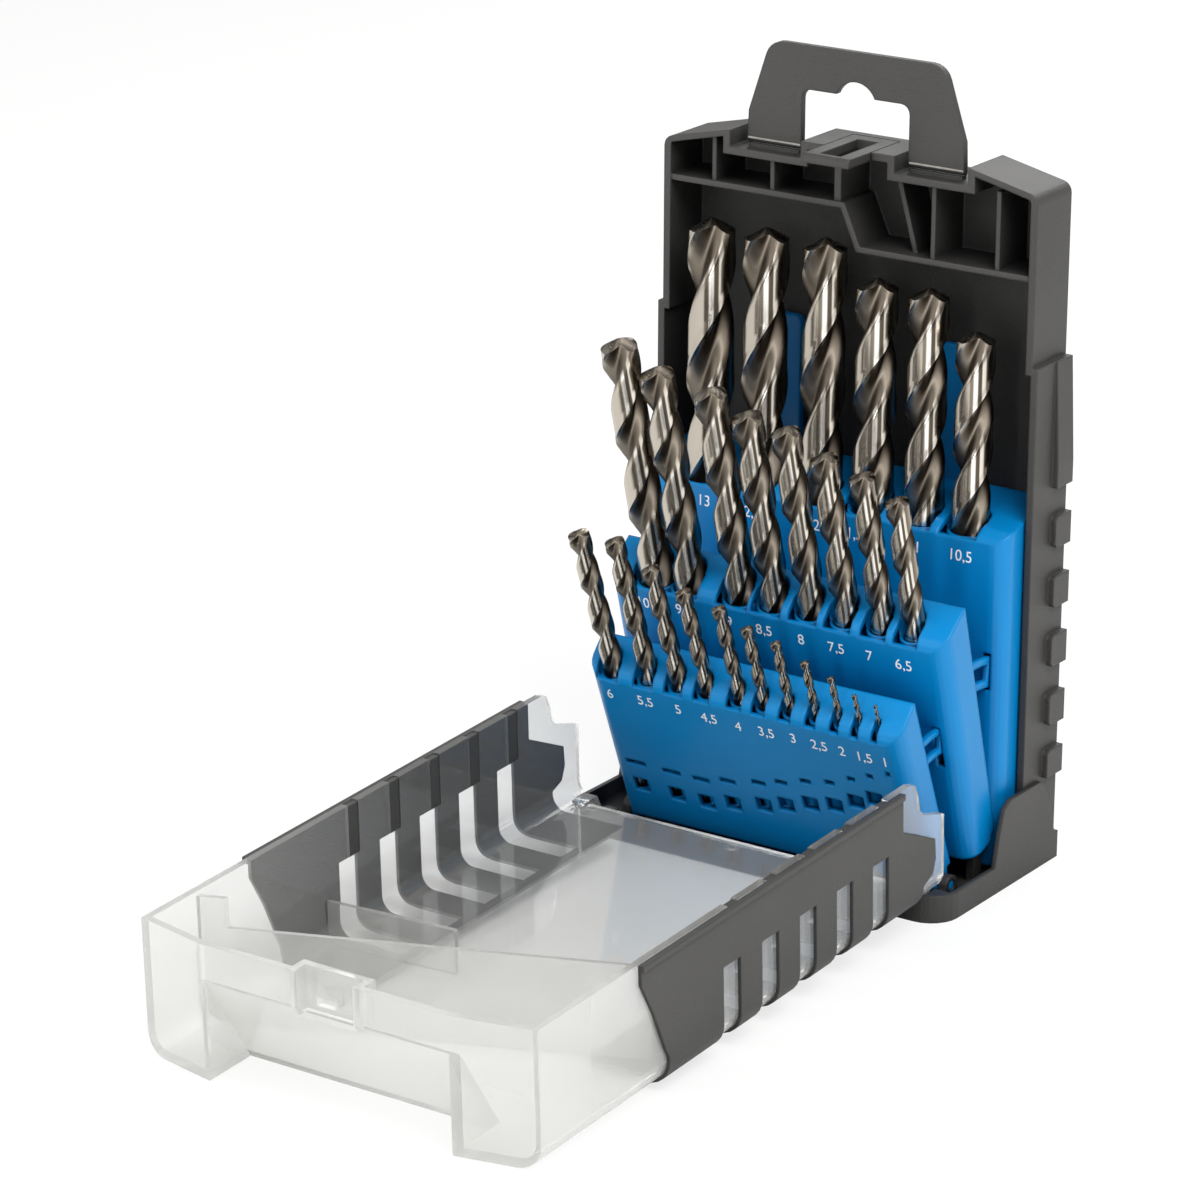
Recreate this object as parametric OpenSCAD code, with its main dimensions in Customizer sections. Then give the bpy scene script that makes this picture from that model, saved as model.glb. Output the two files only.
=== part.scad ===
// Hinged drill bit case, standing open: a back shell on a foot, a clear lid laid
// forward, three fanned racks and twenty-five twist drills from 1 mm to 13 mm.
// Millimetres. +Z up, +Y to the back, origin under the middle of the foot.
// Depths called "depth" or "_dp" are measured forward from the flat back plane.

/* [Poses] */
// Angle that the lid has opened by, at rest
lid_open = 92.6; // [85:0.1:92.6]
// Forward tilt of the middle rack when the case is open
mid_tilt = 15.8; // [6:0.1:15.8]
// Forward tilt of the front rack when the case is open
front_tilt = 22; // [9:0.1:22]

/* [Foot] */
// Width of the foot over both side walls
foot_w = 119.6; // [119:0.2:124]
// Depth of the foot from front to back
foot_d = 61; // [61:0.5:66]
// Height of the rim round the foot
rim_h = 7.5; // [7:0.1:9]
// Thickness of the foot's floor
foot_floor = 2.5; // [2:0.1:3]
// Radius of the foot's front corners
foot_corner = 8.5; // [6:0.5:9]
// Height of the two ears that clasp the shell
ear_h = 24.5; // [20:0.5:25]

/* [Back shell] */
// Depth of the shell from back plane to front edge
shell_d = 17.55; // [16.8:0.05:17.6]
// Height of the shell's flat top above the ground
shell_h = 189.6; // [189:0.2:196]
// Wall thickness of the shell
shell_wall = 2; // [1.6:0.1:2]
// Height of the step where the shell's sides draw in
step_z = 139.7; // [130:0.5:150]
// How far each side draws in above the step
step_in = 1.57; // [1:0.05:1.6]
// Half width of the flat part of the top
top_flat = 36.3; // [36.3:0.1:40]
// Drop of the chamfer at each end of the top
top_drop = 4.6; // [3:0.1:5]
// How far the hanger channels are let into the top
channel_drop = 4.6; // [4.4:0.1:5]
// Half width of the raised middle of the top
middle_w = 14.2; // [13:0.1:14.6]
// Radius of the shell's upper corners
shell_corner = 3; // [2.6:0.1:3.4]
// How far the left storage shelf lies below the top
shelf_left_drop = 14.6; // [12.6:0.1:16.6]
// How far the right storage shelf lies below the top
shelf_right_drop = 25.8; // [23.6:0.1:26]
// Height of one grip rib on the shell's sides
rib_h = 8.6; // [6:0.2:10]
// Spacing of those grip ribs
rib_pitch = 16.5; // [14:0.1:17]
// How far the grip ribs stand out
rib_out = 1.8; // [0.8:0.1:2]

/* [Hanger and latch] */
// Half width of the hanger at its feet
hanger_half = 33; // [30:0.5:34]
// Height of the hanger above its hinge
hanger_h = 27.1; // [25:0.1:32]
// Thickness of the hanger plate
hanger_t = 2; // [1.6:0.1:2.4]
// Half width of the slot through the hanger
slot_half = 16.4; // [15.6:0.1:17]
// Depth from the back plane to the hanger's hinge
hanger_dp = 13; // [12:0.1:14]
// Half width of the latch loop
latch_half = 7; // [6:0.1:8]
// Half width of the slot in the latch loop
latch_slot = 3.2; // [2.6:0.1:3.6]
// Depth from the back plane to the front of the latch loop
latch_dp = 28.4; // [28:0.1:30]
// Thickness of the latch loop
latch_t = 2.4; // [1.8:0.1:2.6]

/* [Lid] */
// Depth from the back plane to the lid's outer face when closed
lid_dp = 53.9; // [53.9:0.1:54.2]
// Wall thickness of the lid
lid_wall = 2; // [1.6:0.1:2]
// Radius of the lid's long outer corners
lid_corner = 6; // [4:0.5:7]
// Half width of the recess between the lid's two feet
recess_half = 36; // [34:0.5:40]
// Height of the recess's lower edge on the closed lid
recess_z = 173; // [168:0.5:178]
// Depth of the hinge axis from the back plane
hinge_dp = 58; // [57.8:0.1:58]
// Height of the hinge axis
hinge_z = 4.5; // [4.5:0.1:4.8]
// Radius of the hinge pins
hinge_pin_r = 1.25; // [1:0.05:1.3]
// Thickness of the dark grips over the lid
grip_t = 0.9; // [0.7:0.1:1]
// Width of one grip window
window_w = 7.6; // [6:0.2:9]
// Spacing of the grip windows
window_pitch = 17.2; // [16:0.1:18]
// How far the grips wrap in under the lid
grip_wrap = 24; // [16:0.5:24]

/* [Racks] */
// Height of the rear rack's front lip
rear_lip = 93.6; // [90:0.2:95]
// Height of the middle rack's front lip when upright
mid_lip = 76.3; // [72:0.1:78]
// Height of the front rack's lip when upright
front_lip = 55.6; // [53:0.1:56]
// Rise from a rack's front lip to its back ridge
ridge_rise = 7.4; // [5:0.1:7.4]
// Height of the two uprights behind the largest drills
upright_top = 138; // [120:1:150]
// Width of one of those uprights
upright_w = 8; // [6:0.5:10]
// How far the middle rack ends short of the rear rack on the left
mid_step = 7.4; // [7:0.1:8]
// How far the front rack ends short of the middle rack on the left
front_step = 3.2; // [3:0.1:3.4]
// How far the front rack ends short of the middle rack on the right
front_step_right = 4.4; // [4.2:0.1:4.6]
// Wall thickness of the racks
rack_wall = 1.4; // [1:0.1:1.6]
// Radius of the racks' front corners
rack_corner = 4.5; // [3:0.1:5]
// Radius of the racks' pivot stubs
pivot_r = 1.4; // [1.2:0.1:1.4]
// Depth of the middle rack's pivot from the back plane
mid_pivot_dp = 33.2; // [33:0.1:33.6]
// Height of the middle rack's pivot
mid_pivot_z = 18.5; // [18:0.1:19]
// Depth of the front rack's pivot from the back plane
front_pivot_dp = 46; // [45.6:0.1:46.4]
// Height of the front rack's pivot
front_pivot_z = 5.6; // [5.4:0.1:5.8]
// Thickness of the stays between the racks
stay_t = 1.4; // [1:0.1:1.4]

/* [Twist drills] */
// Smallest drill
first_size = 1; // [1:0.5:1]
// Step from one drill to the next
size_step = 0.5; // [0.5:0.1:0.5]
// Rise of the flutes in drill diameters a turn
flute_lead = 5.6; // [5:0.1:7]
// Full angle of the drill points
point_angle = 130; // [118:1:135]
// Slack round a drill in its socket
socket_slack = 0.15; // [0.1:0.01:0.2]
// Wall round each socket
socket_wall = 0.8; // [0.6:0.05:0.9]

/* [Clearances] */
// Running gap round pins and stubs
pin_gap = 0.05; // [0.03:0.01:0.1]
// Gap between parts that slide or fold past each other
part_gap = 0.3; // [0.2:0.05:0.4]
// Wall of the foot's ears outside the shell
ear_t = 1.3; // [1.1:0.05:1.5]
// Gap between the shell's walls and the fixed rear rack, each side
rack_gap = 0.7; // [0.6:0.05:0.8]

/* [Hidden] */
$fn = 48;
eps = 0.01;

back_y = foot_d / 2;
function dy(depth) = back_y - depth;

// Every width follows from the foot, by named walls and gaps
foot_half = foot_w / 2;
shell_half = foot_half - ear_t;
upper_half = shell_half - step_in;
chamfer_z = shell_h - top_drop;
channel_z = shell_h - channel_drop;
shelf_left_z = shell_h - shelf_left_drop;
shelf_right_z = shell_h - shelf_right_drop;

hinge_y = dy(hinge_dp);
boss_r = 2.2;
arm_in = 49.6;
arm_w = 4;
mouth_dp = shell_d + part_gap;
lid_half = shell_half - part_gap;
lid_in = lid_half - lid_wall;
lid_low = 3.6;
lid_top = shell_h - 0.6;
lid_edge = chamfer_z - 0.4;
lid_floor_dp = lid_dp - lid_wall;
latch_z = shell_h - latch_t;
latch_root = 3.2;

hanger_z = channel_z + 2.2;
hanger_r = hanger_t / 2;

// Standard lengths of jobber twist drills, overall and along the flutes
drill_len = [34, 40, 49, 57, 61, 70, 75, 80, 86, 93, 93, 101, 109, 109, 117, 117,
  125, 125, 133, 133, 142, 142, 151, 151, 151];
flute_len = [12, 18, 24, 30, 33, 39, 43, 47, 52, 57, 57, 63, 69, 69, 75, 75,
  81, 81, 87, 87, 94, 94, 101, 101, 101];
function size_of(i) = first_size + i * size_step;

rear_half = shell_half - shell_wall - rack_gap;
mid_right = rear_half - 0.2;
mid_left = rear_half - mid_step;
front_right = mid_right - front_step_right;
front_left = mid_left - front_step;

// Sockets of each rack: which drill, where across in percent of the rear rack's half
// width, and how far its seat is raised
rear_row = [[24, -72.6, 0], [23, -41.8, 0], [22, -9.1, 0], [21, 19.7, 0.6],
  [20, 47.8, 0.4], [19, 73.5, 0]];
mid_row = [[18, -64.9, 0], [17, -45.7, 1.6], [16, -17.2, -1.6], [15, 1.6, 1.4],
  [14, 22, -1], [13, 41, 1.2], [12, 60.4, -2.4], [11, 77.8, 0.3]];
front_row = [[10, -70.3, 0], [9, -50, 0.1], [8, -33, 0], [7, -17.2, 0.4],
  [6, 1.1, 2.3], [5, 14.5, 2.3], [4, 29, 8.4], [3, 43, 7.8], [2, 55.9, 12.4],
  [1, 67, 17], [0, 77.6, 21.1]];
function across_at(share) = rear_half * share / 100;
rear_row_dp = 19;
mid_row_dp = 34.1;
front_row_dp = 46.9;
rear_seat = 14.6;
mid_seat = 17;
front_seat = 10.2;

biggest = size_of(24);
rear_front_dp = rear_row_dp + biggest / 2 + socket_slack + socket_wall + 0.15;
mid_back_dp = rear_front_dp + 1.4;
mid_front_dp = mid_row_dp + size_of(18) / 2 + socket_slack + socket_wall + 0.2;
front_back_dp = mid_front_dp + 0.5;
front_front_dp = lid_floor_dp - 0.6;

function arc(cx, cy, r, a0, a1, n = 6) =
  [for (i = [0:n]) let (a = a0 + (a1 - a0) * i / n) [cx + r * cos(a), cy + r * sin(a)]];

// Extrude a [depth, height] outline along X from x0 to x1
module side_plate(x0, x1, pts) {
  translate([x0, 0, 0]) rotate([90, 0, 90]) linear_extrude(x1 - x0)
    polygon([for (p = pts) [dy(p[0]), p[1]]]);
}

// Extrude an [x, height] outline from depth d1 back to depth d0
module front_plate(d0, d1, pts) {
  translate([0, dy(d0), 0]) rotate([90, 0, 0]) linear_extrude(d1 - d0) polygon(pts);
}

// Extrude an [x, depth] outline upwards
module floor_plate(z0, z1, pts) {
  translate([0, 0, z0]) linear_extrude(z1 - z0) polygon([for (p = pts) [p[0], dy(p[1])]]);
}

module both_sides() {
  children();
  mirror([1, 0, 0]) children();
}

module across(x0, x1, depth, z, r) {
  translate([x0, dy(depth), z]) rotate([0, 90, 0]) cylinder(h = x1 - x0, r = r);
}

module block(x0, x1, d0, d1, z0, z1) {
  translate([x0, dy(d1), z0]) cube([x1 - x0, d1 - d0, z1 - z0]);
}

// Turn a piece drawn closed about the lid hinge into the open rest pose
module lid_pose() {
  translate([0, hinge_y, hinge_z]) rotate([lid_open, 0, 0])
    translate([0, -hinge_y, -hinge_z]) children();
}

module mid_pose() {
  translate([0, dy(mid_pivot_dp), mid_pivot_z]) rotate([mid_tilt, 0, 0])
    translate([0, -dy(mid_pivot_dp), -mid_pivot_z]) children();
}

module front_pose() {
  translate([0, dy(front_pivot_dp), front_pivot_z]) rotate([front_tilt, 0, 0])
    translate([0, -dy(front_pivot_dp), -front_pivot_z]) children();
}

// ---------- foot ----------

function foot_outline(half, front, r) = concat(
  [[-half, 0], [half, 0]],
  arc(half - r, front - r, r, 0, 90),
  arc(-half + r, front - r, r, 90, 180));

bracket_r = pivot_r + 1.4;
bracket_t = 2.5;

ear = [[0, 0], [0, 5], [2, 8], [4.4, 16], [7, 21], [10, ear_h], [26, ear_h],
  [29.2, ear_h - 2], [31.4, 16], [33.4, rim_h], [34, 0]];

// Upright with a bore: foot_in and foot_out are its reach behind and before the bore
module pivot_bracket(pivot_dp, pivot_z, x0, x1, foot_in, foot_out, knee_z) {
  difference() {
    union() {
      across(x0, x1, pivot_dp, pivot_z, bracket_r);
      side_plate(x0, x1, [[pivot_dp - bracket_r, pivot_z], [pivot_dp + bracket_r, pivot_z],
        [pivot_dp + foot_out, knee_z], [pivot_dp + foot_out, foot_floor],
        [pivot_dp - foot_in, foot_floor]]);
    }
    across(x0 - 1, x1 + 1, pivot_dp, pivot_z, pivot_r + pin_gap);
  }
}

module foot_tray() {
  inner = shell_half;
  wall = foot_half - inner;
  color("#5f6061") difference() {
    union() {
      difference() {
        floor_plate(0, rim_h, foot_outline(foot_half, foot_d, foot_corner));
        difference() {
          floor_plate(foot_floor, rim_h + 1,
            foot_outline(inner, foot_d - 1.5, foot_corner - wall));
          both_sides() block(45.5, foot_half + 1, hinge_dp - 3.6, foot_d, 0, rim_h + 1);
        }
        // a shallow rounded nick lets the shell's lower edge through at the back
        block(-shell_half, shell_half, -1, shell_wall + 0.5, foot_floor, rim_h + 1);
      }
      both_sides() side_plate(inner, foot_half, ear);
      // the middle rack turns on brackets inside its ends, the front rack between a pair
      for (x = [-mid_left + rack_wall + part_gap,
        mid_right - rack_wall - part_gap - bracket_t])
        pivot_bracket(mid_pivot_dp, mid_pivot_z, x, x + bracket_t, bracket_r, 1, 10);
      for (x = [-front_left - part_gap - bracket_t, front_right + part_gap])
        pivot_bracket(front_pivot_dp, front_pivot_z, x, x + bracket_t, 3.5, 3.5, foot_floor + 0.1);
    }
    // slots for the lid's hinge arms, and the pin bores through the corner blocks
    both_sides() block(arm_in - part_gap, arm_in + arm_w + part_gap, hinge_dp - 8,
      hinge_dp + boss_r + 0.15, hinge_z - boss_r - 0.25, rim_h + 1);
    both_sides() across(46.5, arm_in + arm_w + 2.5, hinge_dp, hinge_z, hinge_pin_r);
  }
}

// ---------- back shell ----------

// One half of the shell seen from the front; its upper corner is rounded by r
function upper_half_outline(a, b, r) =
  let (slope = atan2(top_drop, upper_half - top_flat),
    cz = chamfer_z - b - r * (1 - sin(slope)) / cos(slope))
  concat([[shell_half - a, foot_floor + a], [shell_half - a, step_z - a],
    [upper_half - a, step_z - a]],
    arc(upper_half - a - r, cz, r, 0, 90 - slope, 4),
    [[top_flat + a, shell_h - a], [top_flat + a, channel_z - a], [middle_w - a, channel_z - a],
      [middle_w - a, shell_h - a]]);
function upper_outline(inset) =
  let (side = upper_half_outline(inset, inset * 0.62, shell_corner - inset), n = len(side))
  concat(side, [for (k = [n - 1:-1:0]) [-side[k][0], side[k][1]]]);

module back_shell() {
  t = 1.6;
  top = channel_z - shell_wall + eps;
  color("#6b6a68") difference() {
    union() {
      difference() {
        front_plate(0, shell_d, upper_outline(0));
        front_plate(shell_wall, shell_d + 1, upper_outline(shell_wall));
      }
      // storage shelves and their dividers
      front_plate(shell_wall - eps, shell_d - 0.4, [
        [-upper_half + 1, shelf_left_z], [-0.9, shelf_left_z], [4, shelf_right_z],
        [upper_half - 1, shelf_right_z], [upper_half - 1, shelf_right_z - t],
        [3, shelf_right_z - t], [-1.9, shelf_left_z - t], [-upper_half + 1, shelf_left_z - t]]);
      for (x = [-41.8, -23.6]) block(x - 0.6, x + 0.6, shell_wall - eps, shell_d - 1.2,
        shelf_left_z - eps, x < -30 ? channel_z + 1.8 : top);
      block(-4.4, -2.4, shell_wall - eps, shell_d - 1.2, shelf_left_z - eps, shell_h - 3.6);
      block(25.1, 26.3, shell_wall - eps, shell_d - 1.2, shelf_right_z - eps, top);
      block(44.3, 45.5, shell_wall - eps, shell_d - 1.2, shelf_right_z - eps, channel_z - 0.5);
      front_plate(shell_wall - eps, shell_d - 4, [[12.8, top], [14.2, top], [19.6, shelf_right_z],
        [18.2, shelf_right_z]]);
      // upstands that carry the hanger's film hinge
      both_sides() block(slot_half + 0.4, hanger_half - 0.4, hanger_dp - 1, hanger_dp + 1,
        channel_z - eps, hanger_z - hanger_r - 0.15);
      // raised grip blocks along both back edges
      both_sides() {
        for (k = [0:3]) side_plate(shell_half - eps, shell_half + rib_out, [
          [0, 39.6 + k * rib_pitch], [7, 39.6 + k * rib_pitch], [8, 40.6 + k * rib_pitch],
          [8, 38.6 + rib_h + k * rib_pitch], [7, 39.6 + rib_h + k * rib_pitch],
          [0, 39.6 + rib_h + k * rib_pitch]]);
        front_plate(0, 8, [[shell_half - 1, 105.6], [shell_half + rib_out, 105.6],
          [shell_half + rib_out, 112], [shell_half + 0.5, step_z], [shell_half - 1, step_z]]);
        side_plate(shell_half - eps, shell_half + rib_out, [[0, ear_h + 0.4], [8, ear_h + 0.4],
          [8, 31.4], [7, 32.4], [0, 32.4]]);
      }
    }
    // slot in the top for the latch loop
    block(-latch_half - part_gap, latch_half + part_gap, latch_root - part_gap, shell_d + 1,
      shell_h - 5, shell_h + 1);
  }
}

module latch_loop() {
  bar = 2.4;
  color("#5b5b5a") difference() {
    block(-latch_half, latch_half, latch_root, latch_dp, latch_z, shell_h);
    block(-latch_slot, latch_slot, latch_root + 4, latch_dp - bar, latch_z - 1, shell_h + 1);
    // eased top edge at the front, where a thumb lifts it
    side_plate(-latch_half - 1, latch_half + 1, [[latch_dp - 0.9, shell_h + eps],
      [latch_dp + 1, shell_h + eps], [latch_dp + 1, shell_h - 1.9]]);
  }
}

module hanger() {
  z0 = hanger_z;
  h = hanger_h;
  half = hanger_half;
  color("#6f6e6c") difference() {
    union() {
      front_plate(hanger_dp - hanger_r, hanger_dp + hanger_r, concat(
        [[-half, z0], [half, z0], [half - 0.3, z0 + 7.7]],
        arc(half - 10.6, z0 + h - 5.4, 5.4, 18, 90, 5),
        arc(-half + 10.6, z0 + h - 5.4, 5.4, 90, 162, 5),
        [[-half + 0.3, z0 + 7.7]]));
      across(-half, half, hanger_dp, z0, hanger_r);
    }
    front_plate(hanger_dp - hanger_t, hanger_dp + hanger_t, concat(
      [[-slot_half, z0 - 2], [slot_half, z0 - 2]],
      arc(slot_half - 2.6, z0 + 12.8, 2.6, 0, 90, 4),
      arc(-slot_half + 2.6, z0 + 12.8, 2.6, 90, 180, 4)));
    // hook hole that breaks out of the slot's upper edge
    translate([0, dy(hanger_dp) + hanger_t, z0 + 12.9]) rotate([90, 0, 0])
      cylinder(h = 2 * hanger_t, r = 6.3);
  }
}

// ---------- lid, drawn closed ----------

lid_side = [[mouth_dp, 20.5], [18.6, 18], [22, 16.4], [26.4, 15.6], [28.6, 13.4], [31.8, lid_low],
  [42, lid_low], [50, lid_low], [lid_dp + 2, lid_low], [lid_dp + 2, 200], [mouth_dp, 200]];

function tray_outline(half, front, r) = concat(
  [[-half, mouth_dp - 5], [half, mouth_dp - 5]],
  arc(half - r, front - r, r, 0, 90),
  arc(-half + r, front - r, r, 90, 180));

// Far end of the lid: the chamfered ends of the shell, the recess and the channels
function end_outline(drop) = [
  [-lid_half - 1, -5], [lid_half + 1, -5], [lid_half + 1, lid_edge - drop],
  [recess_half + 0.5, lid_top - drop], [-recess_half - 0.5, lid_top - drop],
  [-lid_half - 1, lid_edge - drop]];

module recess_cut(grow) {
  side_plate(-recess_half - grow, recess_half + grow, [
    [mouth_dp + 9.8, lid_top + 5], [mouth_dp + 9.8, lid_top - grow],
    [lid_dp + 2, recess_z - 1 - grow * 1.2], [lid_dp + 2, lid_top + 5]]);
}

module latch_channel(grow) {
  block(-latch_half - 1.6 - grow, latch_half + 1.6 + grow, mouth_dp - 6, mouth_dp + 12,
    lid_top - 4.4 - grow, lid_top + 5);
}

module lid_solid(inset, extra) {
  intersection() {
    floor_plate(-5, lid_top + 1, tray_outline(lid_half - inset, lid_dp - inset, lid_corner - inset));
    front_plate(mouth_dp - extra, lid_dp + 1, end_outline(inset));
  }
}

module divider(x0, z0, x1, z1, top_dp, t) {
  intersection() {
    front_plate(top_dp, lid_floor_dp + 0.5, [[x0, z0], [x1, z1], [x1, z1 + t], [x0, z0 + t]]);
    lid_solid(0.8, 0);
  }
}

module lid_walls() {
  difference() {
    lid_solid(0, 0);
    difference() {
      lid_solid(lid_wall, 3);
      recess_cut(lid_wall);
      latch_channel(lid_wall);
    }
    recess_cut(0);
    latch_channel(0);
    // side walls follow the hinge-end profile
    difference() {
      block(-80, 80, mouth_dp - 8, lid_dp + 4, -20, 60);
      side_plate(-90, 90, lid_side);
    }
    // the floor starts above the foot's rim
    block(-lid_in + 1, lid_in - 1, lid_floor_dp - 6, lid_dp + 1, 0, rim_h + 0.8);
    // slots down both side walls, filled by the grips
    for (k = [0:4]) block(-70, 70, mouth_dp - 1, 32, 31.4 + 17.4 * k, 35.8 + 17.4 * k);
  }
}

module hinge_arm() {
  b = hinge_dp;
  z = hinge_z;
  difference() {
    union() {
      across(arm_in, arm_in + arm_w, b, z, boss_r);
      side_plate(arm_in, arm_in + arm_w, [[b, z - boss_r], [b - 2, z - boss_r],
        [lid_floor_dp - 1, z + 0.4], [lid_floor_dp - 1, rim_h + 3.5], [lid_dp - 0.2, rim_h + 3.5],
        [lid_dp - 0.2, z + 5], [b - 3.2, z + boss_r], [b, z + boss_r]]);
    }
    across(arm_in - 1, arm_in + arm_w + 1, b, z, hinge_pin_r + pin_gap);
  }
}

module lid() {
  wall_t = 1.4;
  color("#e9ecec", 0.55) lid_pose() {
    union() {
      lid_walls();
      both_sides() hinge_arm();
      // catch that the latch loop snaps over
      side_plate(-latch_slot + 0.5, latch_slot - 0.5, [[22, lid_top - 5], [23.4, lid_top - 0.8],
        [latch_dp - 2.8, lid_top - 0.8], [latch_dp - 2.6, lid_top - 5]]);
      // diagonal wall above the middle drills, full height only beside them
      long_z = lid_top - 24;
      divider(-lid_in - 0.3, long_z, lid_in - 7.2, long_z - 38, 27, wall_t);
      divider(-lid_in - 0.3, long_z, -lid_in + 6.8, long_z - 2.6, mouth_dp + 1.2, wall_t);
      // short wall above the front drills
      short_z = lid_top - 74;
      divider(-lid_in - 0.3, short_z, -lid_in + 38.2, short_z - 3, 40, wall_t);
    }
  }
}

grip_profile = [[mouth_dp + 0.2, 25.2], [28.7, 25.2], [36.4, 9.4], [42, 9], [46, 10.6],
  [47.6, 15], [lid_dp + 3, 15], [lid_dp + 3, 132.6], [46.5, 132.6], [43.6, 134.2],
  [32.5, 138.9], [23.4, 143.8], [mouth_dp + 0.2, 143.8]];

module grip_shape(side) {
  t = grip_t;
  difference() {
    intersection() {
      floor_plate(0, 150, tray_outline(lid_half + t, lid_dp + t, lid_corner + t));
      side_plate(-80, 80, grip_profile);
    }
    floor_plate(-1, 151, tray_outline(lid_half, lid_dp, lid_corner));
    block(-lid_half + grip_wrap, lid_half - grip_wrap, mouth_dp - 8, lid_dp + 3, -1, 151);
    block(side > 0 ? -80 : 0, side > 0 ? 0 : 80, mouth_dp - 8, lid_dp + 4, -1, 151);
    for (k = [0:4]) block(-80, 80, 32.6, lid_dp + 3, 32.4 + window_pitch * k,
      32.4 + window_w + window_pitch * k);
  }
}

module grip(side) {
  lip = 1.6;
  color("#5a5a59") lid_pose() union() {
    grip_shape(side);
    // the wrapped part keeps a closed band along its inner edge
    floor_plate(24, 126, [[side * (lid_half - grip_wrap), lid_dp],
      [side * (lid_half - grip_wrap + 3), lid_dp],
      [side * (lid_half - grip_wrap + 3), lid_dp + grip_t],
      [side * (lid_half - grip_wrap), lid_dp + grip_t]]);
    // bead along the mouth
    block(side > 0 ? lid_half : -lid_half - grip_t - 0.7, side > 0 ? lid_half + grip_t + 0.7
      : -lid_half, mouth_dp + 0.2, mouth_dp + 0.2 + lip, 25.2, 143.8);
    // ribs that fill the slots in the clear wall
    for (k = [0:4]) block(side > 0 ? lid_in + 0.2 : -lid_half - 0.2,
      side > 0 ? lid_half + 0.2 : -lid_in - 0.2, mouth_dp + 0.4, 32,
      31.4 + 17.4 * k, 35.8 + 17.4 * k);
  }
}

module grip_left() { grip(-1); }
module grip_right() { grip(1); }

module hinge_pins() {
  color("#c9ccce") both_sides() across(46.7, arm_in + arm_w + 2.2, hinge_dp, hinge_z,
    hinge_pin_r);
}

// ---------- racks, drawn upright ----------

function rack_outline(left, right, back, front, r) = concat(
  [[-left, back], [right, back]],
  arc(right - r, front - r, r, 0, 90, 5),
  arc(-left + r, front - r, r, 90, 180, 5));

// Crowned deck: shares of the depth and of the rise, from the lip to the ridge
crown = [[0, 0], [0.05, 0.2], [0.16, 0.4], [0.38, 0.57], [0.68, 0.79], [1, 1]];

// A thin-walled rack: open below, crowned deck, one tube for each drill
module rack(left, right, back, front, low, lip, row, row_dp, seat) {
  w = rack_wall;
  top = lip + ridge_rise;
  deck = concat([[front + 1, low - 30], [front + 1, lip]],
    [for (c = crown) [front - c[0] * (front - back), lip + c[1] * ridge_rise]],
    [[back - 1, top], [back - 1, low - 30]]);
  difference() {
    union() {
      difference() {
        intersection() {
          floor_plate(low, top, rack_outline(left, right, back, front, rack_corner));
          side_plate(-left - 1, right + 1, deck);
        }
        intersection() {
          floor_plate(low - 1, top, rack_outline(left - w, right - w, back + w, front - w,
            rack_corner - w));
          side_plate(-left, right, [for (p = deck) [p[0], p[1] - 2]]);
        }
      }
      intersection() {
        for (s = row) translate([across_at(s[1]), dy(row_dp), seat + s[2] - 1.1])
          cylinder(h = top - seat, r = size_of(s[0]) / 2 + socket_slack + socket_wall);
        side_plate(-left, right, deck);
      }
    }
    for (s = row) let (x = across_at(s[1]), half = size_of(s[0]) / 2) {
      translate([x, dy(row_dp), seat + s[2]]) cylinder(h = 200, r = half + socket_slack);
      // the crown is open in front of each drill, down to the lip
      block(x - half - 0.5, x + half + 0.5, row_dp, front + 1, lip, lip + 20);
    }
  }
}

// Where the stays stand across the case, each with a window in the rack behind
stay_mid_x = rear_half - 5.2;
stay_front_x = rear_half - 6.6;

module stay_window(x, back, z0, z1) {
  block(x - 0.4, x + stay_t + 0.4, back - rack_wall - 1, back + 1, z0, z1);
}

module rack_rear() {
  color("#1577b8") difference() {
    union() {
      rack(rear_half, rear_half, shell_wall, rear_front_dp, foot_floor + shell_wall, rear_lip,
        rear_row, rear_row_dp, rear_seat);
      // two uprights behind the largest drills
      both_sides() front_plate(shell_wall, shell_wall + 2.2, let (x = across_at(45.5),
        h = upright_w / 2, z = upright_top - 2) concat([[x - h, rear_lip], [x + h, rear_lip]],
        arc(x + h - 2, z, 2, 0, 90, 4), arc(x - h + 2, z, 2, 90, 180, 4)));
    }
    stay_window(stay_mid_x, rear_front_dp, 53.6, 63.8);
  }
}

module rack_middle() {
  color("#1577b8") mid_pose() difference() {
    union() {
      rack(mid_left, mid_right, mid_back_dp, mid_front_dp, 11.5, mid_lip, mid_row,
        mid_row_dp, mid_seat);
      // pivot stubs on the inside of both end walls
      across(-mid_left + rack_wall - 0.2, -mid_left + rack_wall + 2.6, mid_pivot_dp,
        mid_pivot_z, pivot_r);
      across(mid_right - rack_wall - 2.6, mid_right - rack_wall + 0.2, mid_pivot_dp,
        mid_pivot_z, pivot_r);
    }
    // the back wall ends higher, clear of the rear rack as the rack tilts
    block(-mid_left - 1, mid_right + 1, mid_back_dp - 1, mid_back_dp + 1.7, 11, 13.5);
    stay_window(stay_front_x, mid_front_dp, 40.6, 53);
  }
}

// Openings in the front rack's face, heights from the largest drill to the smallest
slit_z = [27.7, 27.4, 27.3, 29.2, 31.4, 33.6, 36.2, 37.9, 41.1, 43.7, 46];
slit_shift = 2.5;

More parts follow.
